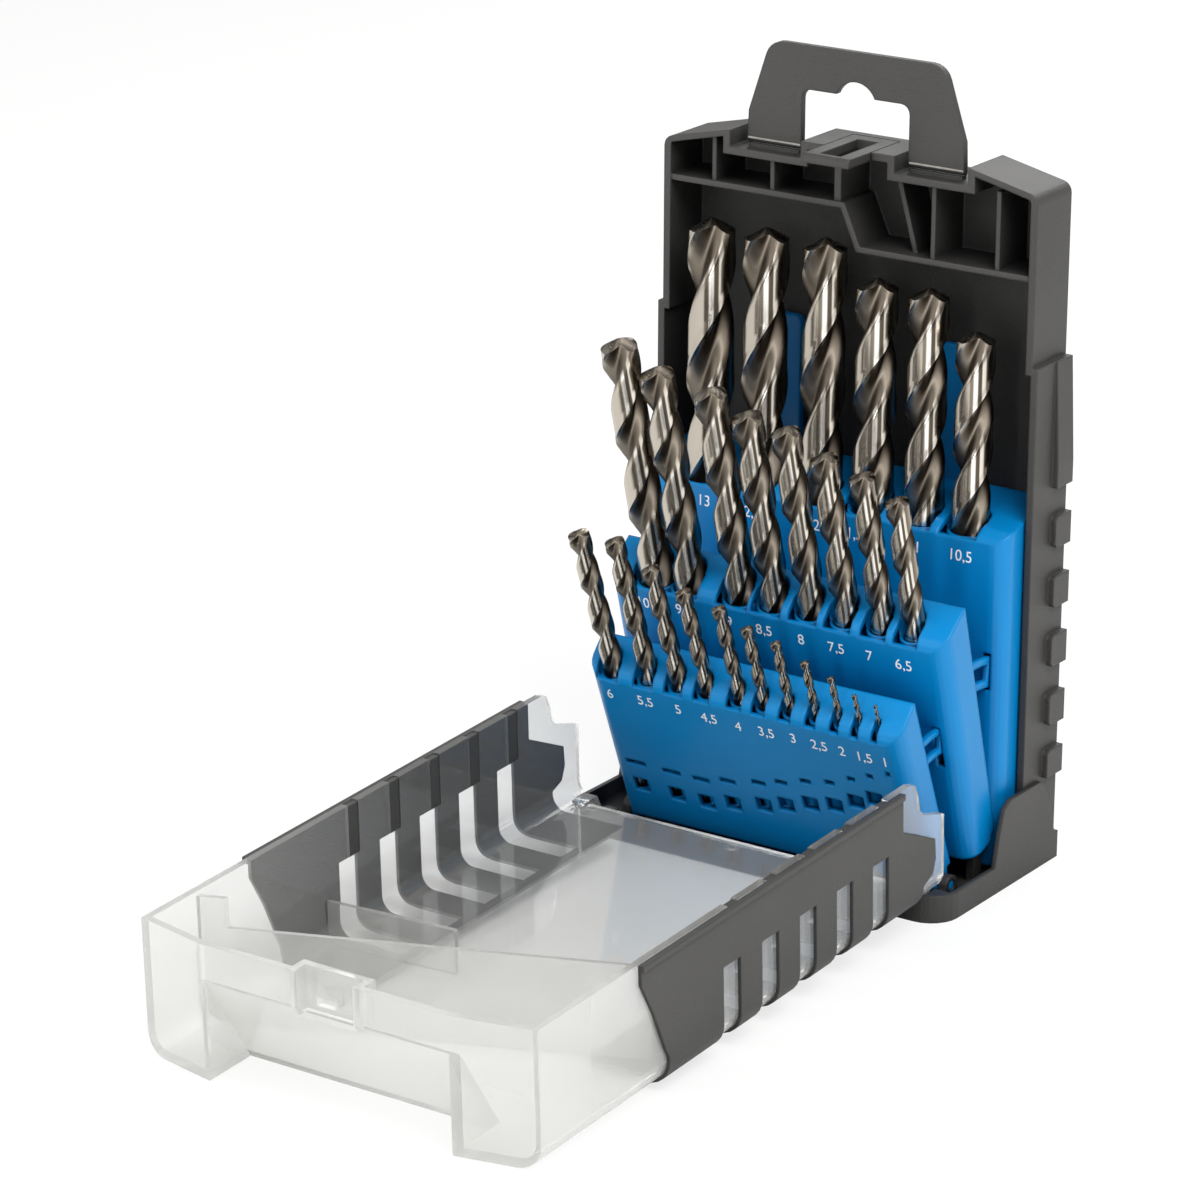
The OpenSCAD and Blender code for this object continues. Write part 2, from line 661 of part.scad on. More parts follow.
module rack_front() {
  lug_t = 2;
  lug_r = 2.7;
  color("#1577b8") front_pose() difference() {
    union() {
      rack(front_left, front_right, front_back_dp, front_front_dp, 8.3, front_lip, front_row,
        front_row_dp, front_seat);
      // a lug below each end wall, with its pivot stub pointing outwards
      for (x = [-front_left, front_right - lug_t]) {
        side_plate(x, x + lug_t, [[front_back_dp + 0.7, 12], [front_front_dp - 4.6, 12],
          [front_pivot_dp + lug_r, front_pivot_z], [front_pivot_dp - lug_r, front_pivot_z]]);
        across(x, x + lug_t, front_pivot_dp, front_pivot_z, lug_r);
      }
      across(-front_left - part_gap - 2.3, -front_left + 0.2, front_pivot_dp, front_pivot_z,
        pivot_r);
      across(front_right - 0.2, front_right + part_gap + 2.3, front_pivot_dp, front_pivot_z,
        pivot_r);
    }
    // a slit in front of each socket, and a square window below all but the last
    for (k = [0:len(slit_z) - 1]) {
      half = size_of(front_row[k][0]) / 2 + 0.2;
      x = across_at(front_row[k][1]) + slit_shift;
      block(x - half, x + half, front_row_dp, front_front_dp + 1, slit_z[k] - 0.8,
        slit_z[k] + 0.8);
      if (k < len(slit_z) - 1) block(x - 2.5, x + 2.5, front_front_dp - 2.4,
        front_front_dp + 1, slit_z[k] - 10.1, slit_z[k] - 5.5);
    }
  }
}

function sector(r0, r1, a0, a1, n) = concat(
  [for (i = [0:n]) let (a = a0 + (a1 - a0) * i / n) [r1 * cos(a), r1 * sin(a)]],
  [for (i = [n:-1:0]) let (a = a0 + (a1 - a0) * i / n) [r0 * cos(a), r0 * sin(a)]]);

// Ladder-shaped stay about a rack's pivot, ending at that rack's back face
module stay(x, pivot_dp, pivot_z, back, r0, r1, bar, a0) {
  intersection() {
    translate([x, dy(pivot_dp), pivot_z]) rotate([90, 0, 90]) linear_extrude(stay_t)
      difference() {
        polygon(sector(r0, r1, a0, 95, 12));
        polygon(sector(r0 + bar, r1 - bar, a0 + 2.7, 99, 12));
      }
    block(x - 1, x + stay_t + 1, 0, back, 0, 100);
  }
}

module stay_arms_middle() {
  color("#1577b8") mid_pose() stay(stay_mid_x, mid_pivot_dp, mid_pivot_z, mid_back_dp,
    36.6, 45, 2.1, 63.3);
}

module stay_arms_front() {
  color("#1577b8") front_pose() stay(stay_front_x, front_pivot_dp, front_pivot_z,
    front_back_dp, 36.5, 44, 1.8, 68.3);
}

// ---------- twist drills ----------

// Two-flute section, counted as [angle, share of the radius]
flute_section = [[0, 0.985], [34, 0.985], [66, 0.62], [104, 0.26], [142, 0.52]];

// Fluted part in one piece, from inside the shank up to the point
module flutes(r, z0, z1, tip, turn) {
  n = len(flute_section);
  m = 2 * n;
  slices = ceil(turn / 30);
  // each ring is [height, angle, share of the section]
  rings = concat([for (k = [0:slices]) [z0 + (z1 - z0) * k / slices, turn * k / slices, 1]],
    [[z1 + tip * 0.88, turn, 0.12]]);
  polyhedron(
    points = [for (g = rings) for (h = [0, 180]) for (s = flute_section)
      [r * g[2] * s[1] * cos(s[0] + h + g[1]), r * g[2] * s[1] * sin(s[0] + h + g[1]), g[0]]],
    faces = concat([[for (k = [0:m - 1]) k]],
      [[for (k = [m - 1:-1:0]) (len(rings) - 1) * m + k]],
      [for (j = [0:len(rings) - 2]) for (k = [0:m - 1])
        [j * m + k, (j + 1) * m + k, (j + 1) * m + (k + 1) % m]],
      [for (j = [0:len(rings) - 2]) for (k = [0:m - 1])
        [j * m + k, (j + 1) * m + (k + 1) % m, j * m + (k + 1) % m]]));
}

module drill_at_origin(i) {
  d = size_of(i);
  r = d / 2;
  tip = r / tan(point_angle / 2);
  shank = drill_len[i] - flute_len[i];
  z0 = shank - d * 0.2;
  z1 = drill_len[i] - tip;
  color("#d2d4d6") union() {
    cylinder(h = shank, r = r, $fn = 40);
    flutes(r, z0, z1, tip, 360 * (z1 - z0) / (d * flute_lead));
  }
}

function find_slot(row, i) = [for (s = row) if (s[0] == i) s];

module drill(i) {
  a = find_slot(rear_row, i);
  b = find_slot(mid_row, i);
  c = find_slot(front_row, i);
  if (len(a) > 0) translate([across_at(a[0][1]), dy(rear_row_dp), rear_seat + a[0][2]]) drill_at_origin(i);
  if (len(b) > 0) mid_pose() translate([across_at(b[0][1]), dy(mid_row_dp), mid_seat + b[0][2]])
    drill_at_origin(i);
  if (len(c) > 0) front_pose() translate([across_at(c[0][1]), dy(front_row_dp), front_seat + c[0][2]])
    drill_at_origin(i);
}

foot_tray();
back_shell();
latch_loop();
hanger();
rack_rear();
rack_middle();
rack_front();
stay_arms_middle();
stay_arms_front();
lid();
grip_left();
grip_right();
hinge_pins();
drill(0);  // drill_01_0
drill(1);  // drill_01_5
drill(2);  // drill_02_0
drill(3);  // drill_02_5
drill(4);  // drill_03_0
drill(5);  // drill_03_5
drill(6);  // drill_04_0
drill(7);  // drill_04_5
drill(8);  // drill_05_0
drill(9);  // drill_05_5
drill(10);  // drill_06_0
drill(11);  // drill_06_5
drill(12);  // drill_07_0
drill(13);  // drill_07_5
drill(14);  // drill_08_0
drill(15);  // drill_08_5
drill(16);  // drill_09_0
drill(17);  // drill_09_5
drill(18);  // drill_10_0
drill(19);  // drill_10_5
drill(20);  // drill_11_0
drill(21);  // drill_11_5
drill(22);  // drill_12_0
drill(23);  // drill_12_5
drill(24);  // drill_13_0
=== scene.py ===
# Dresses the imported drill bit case: camera, light, plastics, steel drills and printed numbers.
import bmesh
import bpy
import math
from mathutils import Matrix, Vector


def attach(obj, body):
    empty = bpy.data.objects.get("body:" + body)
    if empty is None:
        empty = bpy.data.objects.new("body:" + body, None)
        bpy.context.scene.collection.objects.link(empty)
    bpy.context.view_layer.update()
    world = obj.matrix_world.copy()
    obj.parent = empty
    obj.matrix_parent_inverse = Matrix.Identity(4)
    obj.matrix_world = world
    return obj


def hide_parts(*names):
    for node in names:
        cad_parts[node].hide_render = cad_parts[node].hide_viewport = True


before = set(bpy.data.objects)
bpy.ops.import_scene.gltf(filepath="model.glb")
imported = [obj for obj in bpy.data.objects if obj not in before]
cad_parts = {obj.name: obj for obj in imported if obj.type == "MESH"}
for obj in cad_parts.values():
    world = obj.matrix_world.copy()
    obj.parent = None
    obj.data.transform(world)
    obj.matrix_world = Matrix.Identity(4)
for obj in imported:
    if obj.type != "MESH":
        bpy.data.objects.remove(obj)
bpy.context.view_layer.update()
print("frame loaded")


def linear(hexColour):
    parts = [int(hexColour[i:i + 2], 16) / 255 for i in (1, 3, 5)]
    return [c / 12.92 if c <= 0.04045 else ((c + 0.055) / 1.055) ** 2.4 for c in parts] + [1]


def addNode(tree, kind, values=None, links=None, **settings):
    node = tree.nodes.new("ShaderNode" + kind)
    for name, value in settings.items():
        setattr(node, name, value)
    for socket, value in (values or {}).items():
        node.inputs[socket].default_value = value
    for socket, source in (links or {}).items():
        tree.links.new(source, node.inputs[socket])
    return node


def newMaterial(name):
    material = bpy.data.materials.new(name)
    material.use_nodes = True
    material.node_tree.nodes.clear()
    return material, material.node_tree


# ---- camera, floor and light
# solved from the photo; degrees, metres, and the lens in mm
view = {
    "azimuth": 34.36, "elevation": 19.29, "roll": 0.23,
    "place": (0.63667, -1.03011, 0.48696), "lens": 144.64,
    "shiftX": -0.00155, "shiftY": 0.01668,
}


def addCamera():
    az, el, roll = (math.radians(view[k]) for k in ("azimuth", "elevation", "roll"))
    ahead = Vector((-math.sin(az) * math.cos(el), math.cos(az) * math.cos(el), -math.sin(el)))
    right = Vector((math.cos(az), math.sin(az), 0))
    up = right.cross(ahead)
    side = right * math.cos(roll) + up * math.sin(roll)
    top = up * math.cos(roll) - right * math.sin(roll)
    data = bpy.data.cameras.new("photoCamera")
    data.lens = view["lens"]
    data.sensor_width = 36
    data.shift_x = view["shiftX"]
    data.shift_y = view["shiftY"]
    data.clip_end = 50
    camera = bpy.data.objects.new("photoCamera", data)
    bpy.context.scene.collection.objects.link(camera)
    turn = Matrix((side, top, -ahead)).transposed().to_4x4()
    camera.matrix_world = Matrix.Translation(view["place"]) @ turn
    bpy.context.scene.camera = camera


studio = {
    "floorSize": 12, "floorColour": "#f6f6f5", "floorGlow": 0.76,
    "worldColour": "#cfcfce", "worldStrength": 0.62,
    # name: place, aimed at, width, height, watts
    "key": ((0.75, -0.45, 1.15), (0, 0, 0.08), 0.7, 0.7, 16),
    "fill": ((-1.1, -1.0, 0.7), (0, 0, 0.08), 1.1, 1.1, 7),
    "back": ((-0.2, 1.0, 1.0), (0, 0, 0.12), 0.9, 0.9, 10),
    "strip": ((0.15, -1.35, 0.5), (0, 0, 0.1), 0.12, 0.9, 3),
}


def paleFloor():
    material, tree = newMaterial("paintedPaperFloor")
    path = addNode(tree, "LightPath")
    share = addNode(tree, "Math", {1: studio["floorGlow"]}, {0: path.outputs["Is Camera Ray"]},
                    operation="MULTIPLY")
    matt = addNode(tree, "BsdfDiffuse", {"Color": linear(studio["floorColour"])})
    white = addNode(tree, "Emission", {"Color": (1, 1, 1, 1), "Strength": 1})
    mixed = addNode(tree, "MixShader", None, {0: share.outputs[0], 1: matt.outputs[0],
                                              2: white.outputs[0]})
    addNode(tree, "OutputMaterial", None, {"Surface": mixed.outputs[0]})
    return material


def addStudio():
    bpy.ops.mesh.primitive_plane_add(size=studio["floorSize"])
    floor = bpy.context.object
    floor.name = "floor"
    floor.data.materials.append(paleFloor())
    for name in ("key", "fill", "back", "strip"):
        place, aim, width, height, watts = studio[name]
        data = bpy.data.lights.new(name, "AREA")
        data.shape = "RECTANGLE"
        data.size = width
        data.size_y = height
        data.energy = watts
        lamp = bpy.data.objects.new(name, data)
        bpy.context.scene.collection.objects.link(lamp)
        lamp.location = place
        lamp.rotation_euler = (Vector(aim) - Vector(place)).to_track_quat("-Z", "Y").to_euler()
    world = bpy.data.worlds.new("studioAir")
    bpy.context.scene.world = world
    world.use_nodes = True
    tree = world.node_tree
    tree.nodes.clear()
    path = addNode(tree, "LightPath")
    seen = addNode(tree, "Math", None, {0: path.outputs["Is Camera Ray"],
                                        1: path.outputs["Is Transmission Ray"]},
                   operation="MAXIMUM")
    air = addNode(tree, "Background", {"Color": linear(studio["worldColour"]),
                                       "Strength": studio["worldStrength"]})
    white = addNode(tree, "Background", {"Color": (1, 1, 1, 1), "Strength": 1})
    mixed = addNode(tree, "MixShader", None, {0: seen.outputs[0], 1: air.outputs[0],
                                              2: white.outputs[0]})
    addNode(tree, "OutputWorld", None, {"Surface": mixed.outputs[0]})
    bpy.context.scene.view_settings.view_transform = "Standard"


addCamera()
addStudio()
print("camera and studio set")


# ---- materials
# shade is the colour of the painted shade in enclosed places
plastics = {
    # spark-eroded grain is about 0.2 mm; drawn at 0.5 mm so that it shows
    "greyMouldedAbs": {"colour": "#3b3a39", "worn": "#454442", "rough": 0.52, "shine": 0.4,
                       "grain": 0.5, "bump": 0.7, "edge": 0.8, "shade": "#6a6a6a"},
    # glossy injection-moulded polystyrene, with a faint flow pattern 6 mm long
    "blueMouldedPolystyrene": {"colour": "#007ec0", "worn": "#0087ca", "rough": 0.34,
                               "shine": 0.25, "grain": 6, "bump": 0.05, "edge": 1.2,
                                "shade": "#c8d2e0"},
}


def mouldedPlastic(name):
    look = plastics[name]
    material, tree = newMaterial(name)
    place = addNode(tree, "TexCoord")
    grain = addNode(tree, "TexNoise", {"Scale": 1000 / look["grain"], "Detail": 3},
                    {"Vector": place.outputs["Object"]})
    broad = addNode(tree, "TexNoise", {"Scale": 35, "Detail": 2},
                    {"Vector": place.outputs["Object"]})
    tone = addNode(tree, "Mix", {6: linear(look["colour"]), 7: linear(look["worn"])},
                   {0: broad.outputs["Fac"]}, data_type="RGBA")
    # painted shade: enclosed places, up to 30 mm in, are multiplied towards the shade colour and
    # drawn darker than the outside
    corner = addNode(tree, "AmbientOcclusion", {"Distance": 0.03}, samples=4)
    paintedCornerShade = addNode(tree, "Mix", {6: linear(look["shade"]), 7: (1, 1, 1, 1)},
                   {0: corner.outputs["AO"]}, data_type="RGBA")
    tone = addNode(tree, "Mix", {0: 1}, {6: tone.outputs[2], 7: paintedCornerShade.outputs[2]},
                   data_type="RGBA", blend_type="MULTIPLY")
    rounded = addNode(tree, "Bevel", {"Radius": look["edge"] / 1000}, samples=8)
    bump = addNode(tree, "Bump", {"Strength": look["bump"], "Distance": 0.0002},
                   {"Height": grain.outputs["Fac"], "Normal": rounded.outputs["Normal"]})
    skin = addNode(tree, "BsdfPrincipled", {"Roughness": look["rough"], "IOR": 1.53,
                                            "Specular IOR Level": look["shine"]},
                   {"Base Color": tone.outputs[2], "Normal": bump.outputs["Normal"]})
    addNode(tree, "OutputMaterial", None, {"Surface": skin.outputs[0]})
    return material


milky = {"colour": "#f0f0ef", "rough": 0.06, "haze": 0.045, "farHaze": 0.2, "edgeHaze": 0.2,
         "clearTo": -0.1, "milkyFrom": -0.19,
         "hazeColour": "#f1f1ef", "letThrough": "#ececeb"}


# milky polypropylene, 2 mm thick: clear by the hinge, hazier at grazing angles and at the
# frosted far end; it lets most light through to what stands behind it
def milkyPolypropylene():
    material, tree = newMaterial("milkyPolypropylene")
    place = addNode(tree, "TexCoord")
    flow = addNode(tree, "TexNoise", {"Scale": 60, "Detail": 2},
                   {"Vector": place.outputs["Object"]})
    bump = addNode(tree, "Bump", {"Strength": 0.06, "Distance": 0.0003},
                   {"Height": flow.outputs["Fac"]})
    clear = addNode(tree, "BsdfPrincipled", {
        "Base Color": linear(milky["colour"]), "Roughness": milky["rough"], "IOR": 1.45,
        "Transmission Weight": 1.0}, {"Normal": bump.outputs["Normal"]})
    haze = addNode(tree, "BsdfPrincipled", {
        "Base Color": linear(milky["hazeColour"]), "Roughness": 0.3, "IOR": 1.45},
        {"Normal": bump.outputs["Normal"]})
    slant = addNode(tree, "LayerWeight", {"Blend": 0.3})
    along = addNode(tree, "SeparateXYZ", None, {0: place.outputs["Object"]})
    plain = addNode(tree, "MapRange", {"From Min": milky["clearTo"], "From Max": milky["milkyFrom"],
                                       "To Min": milky["haze"], "To Max": milky["farHaze"]},
                    {"Value": along.outputs["Y"]})
    amount = addNode(tree, "Math", {1: milky["edgeHaze"]},
                     {0: slant.outputs["Facing"], 2: plain.outputs[0]}, operation="MULTIPLY_ADD")
    body = addNode(tree, "MixShader", None, {0: amount.outputs[0], 1: clear.outputs[0],
                                             2: haze.outputs[0]})
    gap = addNode(tree, "BsdfTransparent", {"Color": linear(milky["letThrough"])})
    path = addNode(tree, "LightPath")
    passing = addNode(tree, "Math", None, {0: path.outputs["Is Shadow Ray"],
                                           1: path.outputs["Is Diffuse Ray"]},
                      operation="MAXIMUM")
    mixed = addNode(tree, "MixShader", None, {0: passing.outputs[0], 1: body.outputs[0],
                                              2: gap.outputs[0]})
    addNode(tree, "OutputMaterial", None, {"Surface": mixed.outputs[0]})
    return material


steel = {
    "pin": "#c4c6c8", "facing": -58.3,
    # painted reflections of the strip lights across a round land, with painted shade between them,
    # left to right: place, tone
    "land": [(0, "#4a4239"), (0.08, "#9b9285"), (0.16, "#b9b1a5"), (0.4, "#bdb5a9"),
             (0.42, "#7d7468"), (0.46, "#847b6f"), (0.48, "#f8f4ed"), (0.53, "#f3eee6"),
             (0.55, "#5a5148"), (0.6, "#50483f"), (0.62, "#ddd6cb"), (0.67, "#d3ccc0"),
             (0.69, "#6b6256"), (0.78, "#857c70"), (0.84, "#a79f93"), (0.92, "#4a4239"),
             (1, "#2a2520")],
    # and the same painted reflections in the hollow of a flute, where they blur
    "flute": [(0, "#2b2621"), (0.2, "#4a4239"), (0.36, "#7d7468"), (0.45, "#a79d8f"),
              (0.55, "#776d61"), (0.68, "#4a4239"), (0.86, "#332d27"), (1, "#1b1815")],
}


# high-speed steel, ground bright: reflections of a strip-lit studio are painted into its colour,
# sharp on the lands and blurred in the flutes, on top of the metal's own reflections
def groundSteel():
    material, tree = newMaterial("groundHighSpeedSteel")
    place = addNode(tree, "TexCoord")
    depth = addNode(tree, "Attribute", attribute_name="fluteDepth")
    around = addNode(tree, "Attribute", attribute_name="aroundAxis")
    shape = addNode(tree, "NewGeometry")
    paintedReflectionRamps = []
    # each ramp paints reflections by the way a point faces round the drill's axis, turned by the
    # facing angle
    for key, source in (("land", around.outputs["Vector"]), ("flute", shape.outputs["Normal"])):
        parts = addNode(tree, "SeparateXYZ", None, {0: source})
        turn = addNode(tree, "Math", None, {0: parts.outputs["Y"], 1: parts.outputs["X"]},
                       operation="ARCTAN2")
        share = addNode(tree, "Math", {1: 1 / math.pi, 2: 0.5 - steel["facing"] / 180},
                        {0: turn.outputs[0]}, operation="MULTIPLY_ADD")
        across = addNode(tree, "Math", {1: 1}, {0: share.outputs[0]}, operation="PINGPONG")
        ramp = addNode(tree, "ValToRGB", None, {"Fac": across.outputs[0]})
        stops = ramp.color_ramp.elements
        for k, (spot, tone) in enumerate(steel[key]):
            stop = stops[k] if k < 2 else stops.new(spot)
            stop.position = spot
            stop.color = linear(tone)
        paintedReflectionRamps.append(ramp)
    hollow = addNode(tree, "MapRange", {"From Min": 0.06, "From Max": 0.2},
                     {"Value": depth.outputs["Fac"]})
    tone = addNode(tree, "Mix", None, {0: hollow.outputs[0], 6: paintedReflectionRamps[0].outputs["Color"],
                                       7: paintedReflectionRamps[1].outputs["Color"]}, data_type="RGBA")
    # grinding lines are about 0.05 mm apart, drawn at 0.4 mm
    lines = addNode(tree, "TexNoise", {"Scale": 2500, "Detail": 1},
                    {"Vector": place.outputs["Object"]})
    bump = addNode(tree, "Bump", {"Strength": 0.06, "Distance": 0.0001},
                   {"Height": lines.outputs["Fac"]})
    rough = addNode(tree, "MapRange", {"To Min": 0.24, "To Max": 0.42},
                    {"Value": hollow.outputs[0]})
    skin = addNode(tree, "BsdfPrincipled", {"Metallic": 1.0},
                   {"Base Color": tone.outputs[2], "Roughness": rough.outputs[0],
                    "Normal": bump.outputs["Normal"]})
    addNode(tree, "OutputMaterial", None, {"Surface": skin.outputs[0]})
    return material


# drawn steel wire, plain bright
def drawnSteel():
    material, tree = newMaterial("drawnSteelPin")
    place = addNode(tree, "TexCoord")
    lines = addNode(tree, "TexNoise", {"Scale": 1500}, {"Vector": place.outputs["Object"]})
    bump = addNode(tree, "Bump", {"Strength": 0.05, "Distance": 0.0001},
                   {"Height": lines.outputs["Fac"]})
    skin = addNode(tree, "BsdfPrincipled", {"Metallic": 1.0, "Roughness": 0.32,
                                            "Base Color": linear(steel["pin"])},
                   {"Normal": bump.outputs["Normal"]})
    addNode(tree, "OutputMaterial", None, {"Surface": skin.outputs[0]})
    return material


# pad-printed white ink, thin enough to let a little blue through at its edges
def printedInk():
    material, tree = newMaterial("padPrintedInk")
    place = addNode(tree, "TexCoord")
    speckle = addNode(tree, "TexNoise", {"Scale": 2500}, {"Vector": place.outputs["Object"]})
    tone = addNode(tree, "ValToRGB", None, {"Fac": speckle.outputs["Fac"]})
    tone.color_ramp.elements[0].color = linear("#e3eef6")
    tone.color_ramp.elements[1].position = 0.4
    tone.color_ramp.elements[1].color = linear("#fbfdff")
    skin = addNode(tree, "BsdfPrincipled", {"Roughness": 0.5},
                   {"Base Color": tone.outputs["Color"]})
    addNode(tree, "OutputMaterial", None, {"Surface": skin.outputs[0]})
    return material


greyAbs = mouldedPlastic("greyMouldedAbs")
bluePs = mouldedPlastic("blueMouldedPolystyrene")
clearPp = milkyPolypropylene()
brightSteel = groundSteel()
pinSteel = drawnSteel()
ink = printedInk()

finishes = {
    "foot_tray": greyAbs, "back_shell": greyAbs, "latch_loop": greyAbs, "hanger": greyAbs,
    "grip_left": greyAbs, "grip_right": greyAbs, "stay_arms_middle": bluePs,
    "stay_arms_front": bluePs, "rack_rear": bluePs, "rack_middle": bluePs,
    "rack_front": bluePs, "lid": clearPp, "hinge_pins": pinSteel,
}
for node, material in finishes.items():
    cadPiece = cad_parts[node]
    for materialSlot in cadPiece.material_slots:
        materialSlot.material = material
print("CAD nodes finished")


# ---- drills
racks = {
    # depths are measured forward from the back plane, in mm, as on the CAD
    "backY": 30.5,
    "rear": {"pivot": (0, 0), "tilt": 0, "depth": 19, "seat": 14.6, "body": "case"},
    "middle": {"pivot": (33.2, 18.5), "tilt": 15.8, "depth": 34.1, "seat": 17,
               "body": "middle_rack"},
    "front": {"pivot": (46, 5.6), "tilt": 22, "depth": 46.9, "seat": 10.2,
              "body": "front_rack"},
}
rearHalf = 55.8
drillPlaces = {
    # size: rack, place across in percent of the rear rack's half width, rise of the seat
    13: ("rear", -72.6, 0), 12.5: ("rear", -41.8, 0), 12: ("rear", -9.1, 0),
    11.5: ("rear", 19.7, 0.6), 11: ("rear", 47.8, 0.4), 10.5: ("rear", 73.5, 0),
    10: ("middle", -64.9, 0), 9.5: ("middle", -45.7, 1.6), 9: ("middle", -17.2, -1.6),
    8.5: ("middle", 1.6, 1.4), 8: ("middle", 22, -1), 7.5: ("middle", 41, 1.2),
    7: ("middle", 60.4, -2.4), 6.5: ("middle", 77.8, 0.3),
    6: ("front", -70.3, 0), 5.5: ("front", -50, 0.1), 5: ("front", -33, 0),
    4.5: ("front", -17.2, 0.4), 4: ("front", 1.1, 2.3), 3.5: ("front", 14.5, 2.3),
    3: ("front", 29, 8.4), 2.5: ("front", 43, 7.8), 2: ("front", 55.9, 12.4),
    1.5: ("front", 67, 17), 1: ("front", 77.6, 21.1),
}
overall = [34, 40, 49, 57, 61, 70, 75, 80, 86, 93, 93, 101, 109, 109, 117, 117,
           125, 125, 133, 133, 142, 142, 151, 151, 151]
alongFlutes = [12, 18, 24, 30, 33, 39, 43, 47, 52, 57, 57, 63, 69, 69, 75, 75,
               81, 81, 87, 87, 94, 94, 101, 101, 101]
drillShape = {
    "sides": 48, "pointAngle": 130, "turnStep": 7, "runOut": 0.9, "phase": 78,
    # rise of the flutes in diameters a turn: from 12 mm up, from 10.5 mm up, the others
    "lead": (5.1, 4.4, 4.6), "relief": 0.13, "smooth": 32,
    # share of the radius round one half: heel, cleared land, margin, then the flute
    "half": [0.93, 0.96, 0.96, 0.96, 0.96, 0.96, 0.96, 0.96, 0.96, 0.96, 0.995, 0.995,
             0.87, 0.73, 0.6, 0.5, 0.44, 0.41, 0.41, 0.45, 0.53, 0.64, 0.76, 0.87],
}


def onRack(rack, x, depth, z):
    spot = racks[rack]
    pivotY, pivotZ = racks["backY"] - spot["pivot"][0], spot["pivot"][1]
    t = math.radians(spot["tilt"])
    y, z = racks["backY"] - depth - pivotY, z - pivotZ
    return Vector((x, pivotY + y * math.cos(t) - z * math.sin(t),
                   pivotZ + y * math.sin(t) + z * math.cos(t))) / 1000


def deselectAll():
    for other in bpy.context.selected_objects:
        other.select_set(False)


def pick(piece, test, kind="verts"):
    mesh = bmesh.from_edit_mesh(piece.data)
    bpy.context.tool_settings.mesh_select_mode = (kind == "verts", kind == "edges", kind == "faces")
    for group in (mesh.faces, mesh.edges, mesh.verts):
        for item in group:
            item.select = False
    for item in getattr(mesh, kind):
        if test(item):
            item.select_set(True)
    bmesh.update_edit_mesh(piece.data)


